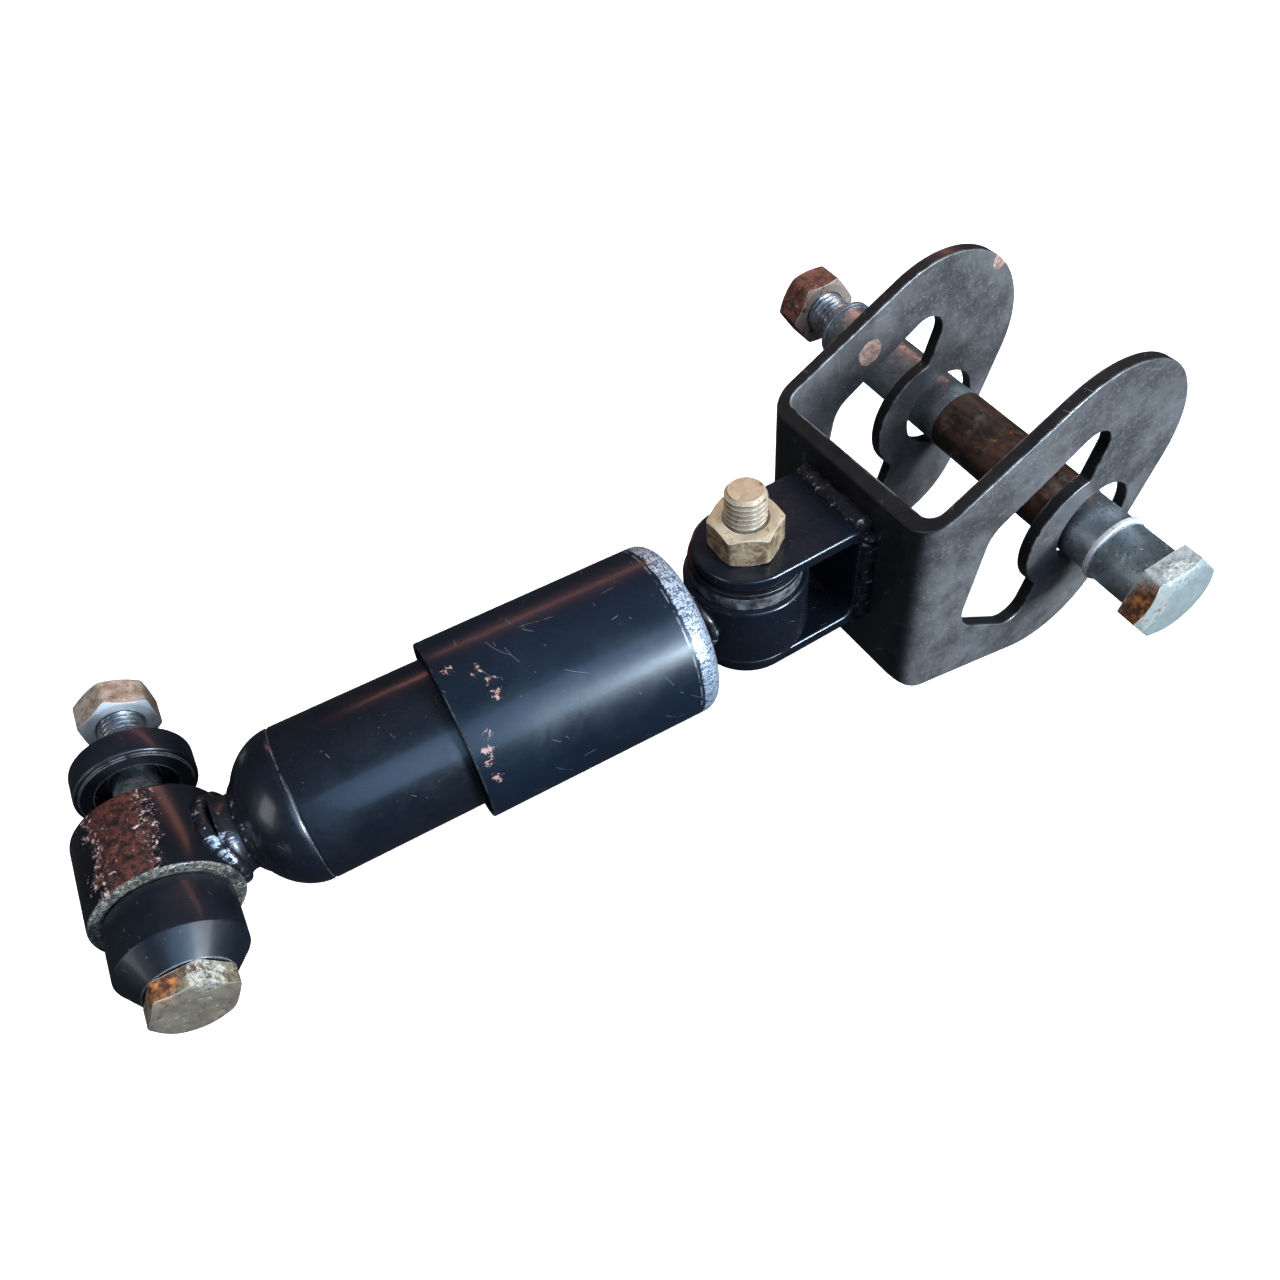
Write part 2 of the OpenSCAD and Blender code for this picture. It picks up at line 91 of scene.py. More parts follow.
class Shade:
    """A node material that is built by small named steps."""

    def __init__(self, name, seed):
        self.material = bpy.data.materials.new(name)
        self.material.use_nodes = True
        self.tree = self.material.node_tree
        self.shader = self.tree.nodes["Principled BSDF"]
        coordinates = self.node("TexCoord").outputs
        self.raw = coordinates["Object"]
        self.normal = coordinates["Normal"]
        shift = (seed * 0.37, seed * 0.11, seed * 0.23)
        self.place = self.node("Mapping", Location=shift, Vector=self.raw).outputs["Vector"]

    def link(self, source, target):
        self.tree.links.new(source, target)

    def fill(self, socket, value):
        if isinstance(value, bpy.types.NodeSocket):
            self.link(value, socket)
        else:
            socket.default_value = value

    def node(self, kind, **inputs):
        """A new shader node whose named inputs are filled by sockets or plain values."""
        made = self.tree.nodes.new("ShaderNode" + kind)
        for name, value in inputs.items():
            self.fill(made.inputs[name], value)
        return made

    def stretched(self, scale, turn=(0, 0, 0)):
        """The shifted coordinates, scaled apart along each axis."""
        return self.node("Mapping", Scale=scale, Rotation=turn, Vector=self.place).outputs["Vector"]

    def noise(self, size, detail=4.0, rough=0.6, warp=0.0, place=None, cut=None):
        """Noise whose features are about size millimetres across, stepped where cut is given."""
        node = self.node("TexNoise", Scale=1 / (size * MM), Detail=detail, Roughness=rough,
                         Distortion=warp, Vector=place or self.place)
        return self.step(node.outputs["Fac"], *cut) if cut else node.outputs["Fac"]

    def step(self, value, low, high):
        """0 below low, 1 above high; it falls instead where low is above high."""
        falls = low > high
        ends = {"From Min": min(low, high), "From Max": max(low, high),
                "To Min": float(falls), "To Max": float(not falls)}
        node = self.node("MapRange", Value=value, **ends)
        node.interpolation_type = "SMOOTHSTEP"
        return node.outputs["Result"]

    def math(self, operation, a, b=0.0):
        node = self.node("Math")
        node.operation = operation
        self.fill(node.inputs[0], a)
        self.fill(node.inputs[1], b)
        return node.outputs[0]

    def plus(self, a, b):
        return self.math("ADD", a, b)

    def minus(self, a, b):
        return self.math("SUBTRACT", a, b)

    def both(self, a, b):
        return self.math("MULTIPLY", a, b)

    def either(self, a, b):
        return self.math("MAXIMUM", a, b)

    def mixed(self, data_type, first, output, factor, a, b):
        """A mix node of that type, whose inputs for a and b are numbered from first."""
        node = self.node("Mix", Factor=factor)
        node.data_type = data_type
        self.fill(node.inputs[first], a)
        self.fill(node.inputs[first + 1], b)
        return node.outputs[output]

    def mix(self, factor, a, b):
        """Colour a where factor is 0 and colour b where it is 1."""
        return self.mixed("RGBA", 6, 2, factor, a, b)

    def blend(self, factor, a, b):
        """Number a where factor is 0 and number b where it is 1."""
        return self.mixed("FLOAT", 2, 0, factor, a, b)

    def vector_math(self, operation, a, b):
        node = self.node("VectorMath")
        node.operation = operation
        self.fill(node.inputs[0], a)
        self.fill(node.inputs[1], b)
        return node.outputs

    def edges(self, radius):
        """1 on corners sharper than the rounding radius in millimetres, 0 on open faces."""
        flat_cosine, corner_cosine = 0.985, 0.93
        bevel = self.node("Bevel", Radius=radius * MM)
        bevel.samples = 4
        own_normal = self.node("NewGeometry").outputs["Normal"]
        turned = self.vector_math("DOT_PRODUCT", bevel.outputs["Normal"], own_normal)
        return self.step(turned["Value"], flat_cosine, corner_cosine)

    def near(self, centre, radius, softness, flat=(1, 1, 1)):
        """1 inside a ball about centre, in millimetres, fading over softness.
        A zero in flat drops that axis, so that the ball becomes a column along it."""
        kept = self.vector_math("MULTIPLY", self.raw, flat)
        centre_m = Vector(centre) * Vector(flat) * MM
        away = self.vector_math("DISTANCE", kept["Vector"], centre_m)
        return self.step(away["Value"], (radius + softness) * MM, (radius - softness) * MM)

    def facing(self, direction, low, high):
        """1 where the surface looks along direction, by the cosine of the angle between."""
        turned = self.vector_math("DOT_PRODUCT", self.normal, direction)
        return self.step(turned["Value"], low, high)

    def grooves(self):
        """1 in narrow hollows such as the roots of a thread."""
        open_face, deep_root = 0.495, 0.45
        pointed = self.node("NewGeometry").outputs["Pointiness"]
        return self.step(pointed, open_face, deep_root)

    def along(self, axis, place=None):
        """The place along axis, 0 for X to 2 for Z, in metres."""
        node = self.node("SeparateXYZ")
        self.link(place or self.raw, node.inputs[0])
        return node.outputs[axis]

    def bump(self, height, strength, depth):
        node = self.node("Bump", Strength=strength, Distance=depth * MM, Height=height)
        self.link(node.outputs["Normal"], self.shader.inputs["Normal"])

    def finish(self, colour, roughness, metallic=None, coat=0.0):
        self.fill(self.shader.inputs["Base Color"], colour)
        self.fill(self.shader.inputs["Roughness"], roughness)
        if metallic is not None:
            self.fill(self.shader.inputs["Metallic"], metallic)
        self.shader.inputs["Coat Weight"].default_value = coat
        self.shader.inputs["Coat Roughness"].default_value = COAT_ROUGHNESS
        return self.material


def rgb(red, green, blue):
    return (red, green, blue, 1.0)


COAT_ROUGHNESS = 0.12
BARE_STEEL = rgb(0.42, 0.44, 0.47)
RUST_DARK = rgb(0.055, 0.022, 0.012)
RUST_MID = rgb(0.16, 0.055, 0.025)
RUST_ORANGE = rgb(0.42, 0.16, 0.045)


def scratches(shade, spacing, share, turns):
    """Thin straight scratches in several directions; share is how much of them stays."""
    line_edge, line_core = 0.012, 0.003
    lines = []
    for index, turn in enumerate(turns):
        across = shade.along(0, shade.stretched((1, 1, 1), turn))
        count = shade.both(across, 1 / (spacing * MM))
        drift = shade.both(shade.noise(30, 1.0), 1.2)
        place = shade.math("FRACT", shade.plus(count, drift))
        from_line = shade.math("ABSOLUTE", shade.minus(place, 0.5))
        line = shade.step(from_line, line_edge, line_core)
        patch = shade.step(shade.noise(6 + 3 * index, 3.0, 0.6), 1.0 - share, 1.03 - share)
        lines.append(shade.both(line, patch))
    return reduce(shade.either, lines)


def worn_through(shade, places, radius, grain):
    """Ragged bare spots: 1 near any of the places where the grain noise is high enough."""
    spots = []
    ragged = shade.noise(grain, 6.0, 0.8, 0.5)
    for place in places:
        ball = shade.near(place, radius * 0.6, radius * 0.6)
        spots.append(shade.step(shade.plus(shade.both(ball, 0.22), ragged), 0.70, 0.74))
    return reduce(shade.either, spots)


def black_paint(name, seed, gloss, wear, edge_colour=BARE_STEEL):
    """Glossy black paint with dust, fine scratches and worn edges."""
    shade = Shade(name, seed)
    cloud = shade.noise(28, 5.0, 0.6)
    base = shade.mix(cloud, rgb(0.002, 0.003, 0.005), rgb(0.007, 0.010, 0.016))
    speck = shade.noise(0.9, 2.0, 0.5, cut=(0.72, 0.78))
    base = shade.mix(shade.both(speck, 0.30), base, rgb(0.20, 0.20, 0.20))
    fine = scratches(shade, 8, 0.36, [(0.3, 0.8, 0.1), (1.2, 0.2, 0.5), (0.1, 1.5, 1.1)])
    colour = shade.mix(shade.both(fine, 0.35), base, rgb(0.30, 0.31, 0.33))
    edge = shade.both(shade.edges(0.7), shade.step(shade.noise(4.5), 0.5 - 0.2 * wear, 0.62))
    colour = shade.mix(shade.both(edge, wear), colour, edge_colour)
    smear = shade.noise(14, 6.0, 0.7, 1.0)
    roughness = shade.blend(shade.step(smear, 0.35, 0.75), gloss, gloss + 0.18)
    roughness = shade.blend(fine, roughness, 0.55)
    peel = shade.plus(shade.noise(2.4, 2.0), shade.both(shade.noise(11, 3.0), 1.6))
    height = shade.minus(peel, shade.both(fine, 0.8))
    shade.bump(height, 0.35, 0.05)
    return shade.finish(colour, roughness, shade.both(edge, wear * 0.7), coat=0.3)


def worn_plate(name, seed, ear_axis, spots):
    """Ears worn to graphite with pale specks; cut edges and the web stay black."""
    shade = Shade(name, seed)
    broad = shade.noise(20, 6.0, 0.7, 0.2)
    cloudy = shade.step(broad, 0.34, 0.68)
    base = shade.mix(cloudy, rgb(0.050, 0.046, 0.045), rgb(0.120, 0.112, 0.108))
    grain = shade.noise(1.3, 4.0, 0.7)
    base = shade.mix(shade.both(shade.step(grain, 0.5, 0.8), 0.6), base, rgb(0.26, 0.25, 0.24))
    fleck = shade.noise(1.5, 5.0, 0.8, cut=(0.66, 0.72))
    sparse = shade.noise(13, 3.0, cut=(0.54, 0.62))
    base = shade.mix(shade.both(fleck, sparse), base, rgb(0.42, 0.40, 0.37))
    ear = shade.either(shade.facing(ear_axis, 0.45, 0.92), shade.facing(-ear_axis, 0.45, 0.92))
    black = shade.mix(shade.noise(9), rgb(0.003, 0.003, 0.004), rgb(0.018, 0.017, 0.017))
    base = shade.mix(ear, black, base)
    fine = scratches(shade, 7, 0.40, [(0.2, 0.5, 0.9), (1.4, 0.6, 0.1), (0.7, 1.2, 0.4)])
    colour = shade.mix(shade.both(fine, 0.4), base, rgb(0.38, 0.37, 0.36))
    edge = shade.both(shade.edges(0.8), shade.noise(5, 5.0, cut=(0.42, 0.58)))
    colour = shade.mix(edge, colour, rgb(0.50, 0.49, 0.48))
    pieces = []
    wobble = shade.both(shade.minus(shade.noise(4, 5.0, 0.7), 0.5), 0.8)
    for centre, radius in spots:
        ball = shade.near(centre, radius, radius * 0.4)
        ragged = shade.step(shade.plus(ball, wobble), 0.44, 0.52)
        pieces.append(shade.both(ragged, shade.step(ball, 0.0, 0.1)))
    bare = reduce(shade.either, pieces)
    flaking = shade.noise(1.8, 5.0, 0.8, cut=(0.38, 0.62))
    primer = shade.mix(flaking, rgb(0.20, 0.11, 0.08), rgb(0.50, 0.31, 0.23))
    colour = shade.mix(bare, colour, primer)
    roughness = shade.blend(shade.step(broad, 0.35, 0.7), 0.30, 0.48)
    roughness = shade.blend(bare, roughness, 0.75)
    height = shade.plus(shade.noise(1.8, 5.0, 0.7), shade.both(shade.noise(9, 3.0), 1.4))
    height = shade.minus(height, shade.both(bare, 1.5))
    shade.bump(height, 0.45, 0.07)
    return shade.finish(colour, roughness, shade.both(edge, 0.7), coat=0.15)


def zinc(name, seed, light, dark, rust_share, rough=0.42, metal=0.85, rust_at=(), pale_at=(),
         face=None):
    """Zinc plating gone cloudy, with white bloom, dark pits and a share of rust, a painted highlight on every edge
    and painted shade in its narrow hollows.
    rust_at and pale_at hold (centre, radius); face is (direction, colour) of a side coloured apart: a cleaner end
    face, and on the clevis bolt and nut a top painted lighter as if lit from above."""
    shade = Shade(name, seed)
    cloud = shade.noise(4.5, 6.0, 0.72, 0.4)
    colour = shade.mix(shade.step(cloud, 0.38, 0.62), dark, light)
    bloom = shade.noise(2.2, 6.0, 0.75, cut=(0.58, 0.70))
    spread = shade.noise(7, 5.0, 0.7, 0.6)
    rust = shade.step(spread, 0.78 - 0.5 * rust_share, 0.86 - 0.5 * rust_share)
    ragged = shade.both(shade.minus(shade.noise(3, 6.0, 0.75), 0.5), 1.4)
    mottled = shade.noise(1.7, 6.0, 0.85, 0.8, cut=(0.44, 0.56))
    for centre, radius in pale_at:
        ball = shade.near(centre, radius, radius * 0.4)
        spot = shade.step(shade.plus(ball, ragged), 0.45, 0.75)
        bloom = shade.either(bloom, shade.both(spot, mottled))
    for centre, radius in rust_at:
        ball = shade.near(centre, radius, radius * 0.4)
        spot = shade.step(shade.plus(ball, ragged), 0.42, 0.62)
        rust = shade.either(rust, shade.both(spot, ball))
    colour = shade.mix(shade.both(bloom, 0.6), colour, rgb(0.74, 0.75, 0.71))
    pits = shade.noise(1.2, 4.0, 0.75, cut=(0.43, 0.36))
    colour = shade.mix(shade.both(pits, 0.8), colour, rgb(0.085, 0.055, 0.035))
    rust_colour = shade.mix(shade.noise(2.5, 5.0, cut=(0.42, 0.70)), RUST_DARK, RUST_ORANGE)
    colour = shade.mix(rust, colour, rust_colour)
    if face:
        direction, face_colour = face
        # the side turned toward direction takes face_colour in patches; turned upward this is painted light on the
        # top
        patchy = shade.noise(3.5, 5.0, cut=(0.66, 0.56))
        clean_and_lit_side = shade.both(shade.facing(direction, 0.25, 0.45), patchy)
        colour = shade.mix(shade.both(clean_and_lit_side, 0.65), colour, face_colour)
    edge = shade.edges(0.4)
    # painted highlight: every edge is painted near white, evenly all round
    colour = shade.mix(shade.both(edge, 0.6), colour, rgb(0.78, 0.79, 0.80))
    # painted shade: narrow hollows such as thread roots are painted dark
    colour = shade.mix(shade.grooves(), colour, rgb(0.05, 0.028, 0.016))
    matte = shade.either(rust, shade.both(bloom, 0.5))
    roughness = shade.blend(shade.either(rust, bloom), rough, 0.75)
    height = shade.minus(shade.noise(1.2, 5.0, 0.7), shade.both(pits, 1.2))
    height = shade.plus(height, shade.both(rust, 0.8))
    shade.bump(height, 0.40, 0.05)
    return shade.finish(colour, roughness, shade.both(shade.minus(1.0, matte), metal))


def plain_metal(name, seed, colour, rough, ring_axis=0):
    """Turned or ground metal with tool lines round ring_axis, which is 0 for X and 2 for Z."""
    shade = Shade(name, seed)
    cloud = shade.noise(8, 5.0, 0.6)
    darker = tuple(value * 0.6 for value in colour[:3]) + (1.0,)
    mixed = shade.mix(cloud, darker, colour)
    stain = shade.noise(5, 5.0, 0.7, cut=(0.62, 0.72))
    mixed = shade.mix(shade.both(stain, 0.6), mixed, RUST_MID)
    scale = [0.05, 0.05, 0.05]
    scale[ring_axis] = 1.0
    lines = shade.noise(0.7, 2.0, 0.5, 0.0, shade.stretched(tuple(scale)))
    roughness = shade.blend(lines, rough, rough + 0.18)
    shade.bump(shade.plus(lines, shade.both(stain, 0.7)), 0.25, 0.03)
    return shade.finish(mixed, roughness, shade.minus(1.0, shade.both(stain, 0.7)))


def rubber_material(name, scuff_from, scuff_colour):
    """Aged black rubber with grey dust and a slightly grained skin."""
    shade = Shade(name, 31)
    dust = shade.step(shade.noise(4, 6.0, 0.7), scuff_from, scuff_from + 0.3)
    colour = shade.mix(shade.both(dust, 0.55), rgb(0.012, 0.011, 0.011), scuff_colour)
    shade.bump(shade.noise(0.8, 4.0, 0.7), 0.5, 0.05)
    return shade.finish(colour, shade.blend(dust, 0.62, 0.85))


def rust_material():
    """Dark oxidised sleeve: brown-black skin, streaks of orange and pale scuffs."""
    shade = Shade("rusty_steel", 43)
    streak = shade.noise(5, 6.0, 0.7, 0.4, shade.stretched((1, 0.35, 1)))
    streaked = shade.step(streak, 0.36, 0.62)
    colour = shade.mix(streaked, rgb(0.010, 0.008, 0.008), rgb(0.060, 0.030, 0.020))
    orange = shade.noise(6, 5.0, 0.75, 0.5, cut=(0.63, 0.72))
    colour = shade.mix(shade.both(orange, 0.7), colour, rgb(0.22, 0.085, 0.025))
    grey = shade.noise(8, 5.0, 0.7, cut=(0.54, 0.66))
    colour = shade.mix(shade.both(grey, 0.55), colour, rgb(0.16, 0.14, 0.13))
    bright = shade.noise(1.6, 4.0, 0.7, cut=(0.64, 0.72))
    colour = shade.mix(shade.both(bright, grey), colour, rgb(0.62, 0.56, 0.52))
    height = shade.plus(shade.noise(1.6, 6.0, 0.75), streak)
    shade.bump(height, 0.45, 0.08)
    return shade.finish(colour, shade.blend(grey, 0.50, 0.36), shade.both(grey, 0.5), coat=0.1)


def weld_material():
    """Weld metal under worn black paint, scuffed bright in brushed strokes."""
    shade = Shade("weld", 53)
    cloud = shade.noise(5, 5.0, 0.7)
    colour = shade.mix(cloud, rgb(0.003, 0.003, 0.004), rgb(0.015, 0.015, 0.018))
    strokes = shade.noise(2.2, 6.0, 0.7, 0.4, shade.stretched((0.35, 1, 1)))
    scuffed = shade.either(shade.near((21, -13, 14), 7, 5), 0.12)
    scuff = shade.step(shade.plus(strokes, shade.both(scuffed, 0.20)), 0.62, 0.68)
    colour = shade.mix(scuff, colour, rgb(0.46, 0.52, 0.62))
    rust = shade.noise(4, 5.0, 0.7, cut=(0.68, 0.74))
    colour = shade.mix(shade.both(rust, 0.8), colour, RUST_MID)
    shade.bump(shade.noise(1.6, 5.0, 0.7), 0.45, 0.10)
    return shade.finish(colour, shade.blend(scuff, 0.34, 0.44), shade.both(scuff, 0.6), coat=0.15)


def eye_material():
    """Lower eye: gloss black, a tall flaking rust patch and a scuffed end face."""
    shade = Shade("eye_paint", 61)
    cloud = shade.noise(20, 5.0, 0.6)
    colour = shade.mix(cloud, rgb(0.002, 0.003, 0.004), rgb(0.008, 0.009, 0.012))
    ragged = shade.noise(6, 6.0, 0.75, 0.6)
    column = shade.near((-2.5, 0, 21), 8, 7, flat=(1, 0, 1))
    place = shade.plus(column, shade.both(ragged, 2.0))
    rust = shade.step(place, 1.45, 1.52)
    mottle = shade.noise(2.2, 6.0, 0.85, cut=(0.43, 0.57))
    rust_tone = shade.mix(mottle, rgb(0.006, 0.005, 0.005), rgb(0.080, 0.024, 0.018))
    colour = shade.mix(rust, colour, rust_tone)
    flake = shade.noise(1.9, 6.0, 0.85, cut=(0.54, 0.59))
    rim = shade.both(shade.step(place, 1.25, 1.42), shade.step(place, 1.75, 1.60))
    colour = shade.mix(shade.both(flake, rim), colour, rgb(0.62, 0.46, 0.43))
    speck = shade.noise(1.4, 4.0, 0.8, cut=(0.64, 0.70))
    fleck = shade.both(speck, shade.step(place, 1.2, 1.5))
    colour = shade.mix(fleck, colour, rgb(0.60, 0.56, 0.54))
    end = shade.facing((0, -1, 0), 0.35, 0.6)
    scuff = shade.noise(1.3, 5.0, 0.85, 1.5, cut=(0.45, 0.66))
    scuff = shade.both(scuff, shade.noise(7, 4.0, 0.7, cut=(0.34, 0.52)))
    scuffed = shade.mix(scuff, rgb(0.009, 0.009, 0.010), rgb(0.42, 0.38, 0.29))
    colour = shade.mix(end, colour, scuffed)
    edge = shade.both(shade.edges(0.8), shade.noise(5, cut=(0.34, 0.5)))
    colour = shade.mix(edge, colour, rgb(0.60, 0.56, 0.52))
    roughness = shade.blend(rust, shade.blend(shade.noise(12, 5.0), 0.16, 0.30), 0.58)
    roughness = shade.blend(end, roughness, 0.6)
    height = shade.minus(shade.noise(9, 3.0), shade.both(rust, 1.4))
    grain = shade.both(shade.noise(1.5, 5.0, 0.8), shade.plus(rust, end))
    height = shade.plus(height, grain)
    shade.bump(height, 0.5, 0.09)
    return shade.finish(colour, roughness, shade.both(edge, 0.5), coat=0.25)


def cover_material(start_x, shoulder_x, end_x, radius):
    """Dust cover: gloss black with a blue cast, chipped at its open end and worn to
    bright crossed scratches on its shoulder."""
    shade = Shade("cover_paint", 71)
    cloud = shade.noise(30, 5.0, 0.6)
    base = shade.mix(cloud, rgb(0.002, 0.004, 0.008), rgb(0.006, 0.012, 0.022))
    turns = [(0.3, 0.8, 0.1), (1.2, 0.2, 0.5), (0.1, 1.5, 1.1), (0.8, 0.9, 0.2)]
    fine = scratches(shade, 8, 0.39, turns)
    colour = shade.mix(shade.both(fine, 0.25), base, rgb(0.36, 0.37, 0.40))

    x = shade.along(0)
    ragged = shade.noise(3.4, 6.0, 0.75)
    rise = shade.step(x, (shoulder_x - 4.5) * MM, (shoulder_x + 0.5) * MM)
    fall = shade.step(x, (end_x + 0.2) * MM, (end_x - 1.2) * MM)
    band = shade.plus(shade.both(rise, 0.8), ragged)
    worn = shade.both(shade.step(band, 0.92, 0.99), fall)
    cross_a = shade.noise(0.45, 1.0, 0.5, 0.0, shade.stretched((1, 0.15, 1), (0.8, 0, 0)))
    cross_b = shade.noise(0.45, 1.0, 0.5, 0.0, shade.stretched((0.15, 1, 1), (-0.8, 0, 0.4)))
    hatch = shade.step(shade.plus(cross_a, cross_b), 0.86, 1.12)
    bright = shade.mix(hatch, rgb(0.06, 0.075, 0.10), rgb(0.42, 0.47, 0.54))
    colour = shade.mix(worn, colour, bright)
    edge = shade.both(shade.edges(0.7), shade.noise(5, cut=(0.45, 0.6)))
    colour = shade.mix(shade.both(edge, 0.7), colour, BARE_STEEL)

    def on_skin(x_from_end, angle):
        """Place on the cover, by distance from its open end and by degrees from the top."""
        turn = math.radians(angle)
        return (start_x + x_from_end, -radius * math.sin(turn), radius * math.cos(turn))

    chip_places = ((5, 3), (12, 12), (14, 20), (14, 29), (7, 46), (5, 55), (4, 62), (5, 74))
    chip = worn_through(shade, [on_skin(*place) for place in chip_places], 3.6, 1.9)
    colour = shade.mix(chip, colour, shade.mix(shade.noise(1.5), rgb(0.60, 0.36, 0.32), RUST_MID))
    smear = shade.noise(16, 6.0, 0.7, 1.0)
    roughness = shade.blend(shade.step(smear, 0.3, 0.75), 0.30, 0.42)
    roughness = shade.blend(shade.either(fine, chip), roughness, 0.6)
    roughness = shade.blend(worn, roughness, 0.42)
    height = shade.plus(shade.noise(2.6, 2.0), shade.both(shade.noise(12, 3.0), 1.8))
    height = shade.minus(height, shade.both(shade.either(fine, chip), 1.2))
    height = shade.plus(height, shade.both(worn, hatch))
    shade.bump(height, 0.35, 0.06)
    metal = shade.either(shade.both(worn, 0.3), shade.both(edge, 0.5))
    return shade.finish(colour, roughness, metal, coat=0.2)


# ---- Mesh kit ----

BEVEL_ANGLE = 32  # edges that turn by more than this, in degrees, are rounded
SHARP_ANGLE = 38  # and beyond this they stay sharp in the shading
LARGE_FACETS = 160  # facets round a turned piece
FACETS = 128
SMALL_FACETS = 96
NECK_FACETS = 72


def new_object(name, mesh):
    """An object in the scene with the geometry of a bmesh, which is freed."""
    data = bpy.data.meshes.new(name)
    mesh.to_mesh(data)
    mesh.free()
    made = bpy.data.objects.new(name, data)
    bpy.context.scene.collection.objects.link(made)
    return made


def add_piece(name, mesh, material, node, bevel=0.0, second=None):
    """Turns a bmesh into a shown piece that stands for a CAD node and rides on its body.
    bevel is a rounding in millimetres; second is the material of the faces of index 1."""
    bmesh.ops.recalc_face_normals(mesh, faces=mesh.faces)
    piece = new_object(name, mesh)
    data = piece.data
    if bevel:
        rounding = piece.modifiers.new("rounding", "BEVEL")
        rounding.width = bevel * MM
        rounding.segments = 3
        rounding.limit_method = "ANGLE"
        rounding.angle_limit = math.radians(BEVEL_ANGLE)
        rounding.use_clamp_overlap = False
        rounding.miter_outer = "MITER_ARC"
        rounding.harden_normals = True
    data.materials.append(material)
    if second:
        data.materials.append(second)
    data.shade_smooth()
    data.set_sharp_from_angle(angle=math.radians(SHARP_ANGLE))
    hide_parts(node)
    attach(piece, BODY_OF[node])


def add_ring(mesh, matrix, steps, place_at, turn=0.0):
    """A ring of vertices about the Z axis of matrix, or one vertex where the radius is 0.
    place_at(angle) gives the radius and height in millimetres."""
    ring = []
    for index in range(1 if place_at(0.0)[0] == 0 else steps):
        angle = TURN * index / steps
        radius, height = place_at(angle)
        x, y = radius * math.cos(angle + turn), radius * math.sin(angle + turn)
        ring.append(mesh.verts.new(matrix @ (Vector((x, y, height)) * MM)))
    return ring


def skin_rings(mesh, rings, closed):
    """Joins each ring of vertices to the next. A closed skin also joins the last ring to the
    first; an open one gets a face at both ends, unless these are single vertices."""
    for lower, upper in zip(rings, rings[1:] + (rings[:1] if closed else [])):
        steps = max(len(lower), len(upper))
        for index in range(steps if steps > 1 else 0):
            after = (index + 1) % steps
            if len(lower) == 1:
                mesh.faces.new((lower[0], upper[after], upper[index]))
            elif len(upper) == 1:
                mesh.faces.new((lower[index], lower[after], upper[0]))
            else:
                mesh.faces.new((lower[index], lower[after], upper[after], upper[index]))
    if not closed and len(rings[0]) > 1:
        mesh.faces.new(rings[0][::-1])
        mesh.faces.new(rings[-1])


def arc(centre, radius, start, end, steps):
    """Points of an arc in the plane, angles in degrees."""
    angles = [math.radians(start + (end - start) * i / steps) for i in range(steps + 1)]
    return [(centre[0] + radius * math.cos(a), centre[1] + radius * math.sin(a)) for a in angles]


def lathe(profile, matrix, steps=FACETS, closed=True):
    """Turns (radius, height) points, in millimetres, about the Z axis of matrix.
    A closed profile is a ring section; an open one starts and ends on the axis."""
    mesh = bmesh.new()
    rings = [add_ring(mesh, matrix, steps, lambda angle: place) for place in profile]
    skin_rings(mesh, rings, closed)
    return mesh


def rounded_ring(outer, inner, low, high, edge):
    """Closed ring section with corners rounded to edge, as (radius, height) points."""
    right, left = outer - edge, inner + edge
    bottom, top = low + edge, high - edge
    points = []
    for index, centre in enumerate(((right, bottom), (right, top), (left, top), (left, bottom))):
        points += arc(centre, edge, 90 * index - 90, 90 * index, 4)
    return points


HEX_STEPS = 144
HEX_EASE = 0.25  # taken off the corners of a hexagon
HEX_EDGE = 0.12  # smallest chamfer at the ends of a hexagon
HEX_GUARD = 0.2  # strips that keep the shading of the flats even
BORE_CHAMFER = 0.8
HUB_R = 0.4  # ring on which a solid head closes


def hex_radius(angle, flats):
    """Distance from the axis to a hexagon of that size across flats, its corners eased."""
    local = (angle % (TURN / 6)) - TURN / 12
    straight = flats / 2 / math.cos(local)
    return min(straight, flats / math.sqrt(3) - HEX_EASE)


def hexagon(flats, low, high, bore, chamfers, matrix, turn):
    """Hexagonal head or nut between two heights, chamfered at the ends named in chamfers.
    The chamfer cuts each flat in an arc, as turning does. bore 0 leaves it solid."""
    slope = math.tan(math.radians(30))
    chamfer_r = flats * 0.487

    def end_places(end, height, inward):
        """Functions for the rings of one end, from its middle out; inward is 1 or -1."""

        def face(angle, inset, margin, rise):
            radius = min(chamfer_r - inset, hex_radius(angle, flats) - margin)
            return radius, height + inward * rise

        def side(angle, strip):
            radius = hex_radius(angle, flats)
            drop = max(0.0, radius - chamfer_r) * slope if end in chamfers else 0.0
            return radius, height + inward * (max(drop, HEX_EDGE) + strip)

        middle = [lambda a: (HUB_R, height)]
        if bore:
            middle = [lambda a: (bore, height + inward * BORE_CHAMFER),
                      lambda a: (bore + BORE_CHAMFER, height)]
        return middle + [lambda a: face(a, 0.25, 0.3, 0.0), lambda a: face(a, 0.0, HEX_EDGE, 0.03),
                         lambda a: side(a, 0.0), lambda a: side(a, HEX_GUARD)]

    mesh = bmesh.new()
    places = end_places("low", low, 1) + end_places("top", high, -1)[::-1]
    rings = [add_ring(mesh, matrix, HEX_STEPS, place_at, turn) for place_at in places]
    skin_rings(mesh, rings, closed=bool(bore))
    return mesh


THREAD_STEPS = 72
THREAD_ROWS = 10  # rows of vertices in one turn of the thread
THREAD_DEPTH = 0.60  # depth as a share of the pitch
THREAD_CREST = 0.10  # share of the wave that stays flat at the crest
THREAD_FLANK = 0.75  # and the share that the flank takes
END_CONE = 1.2  # chamfer of the tip, in millimetres


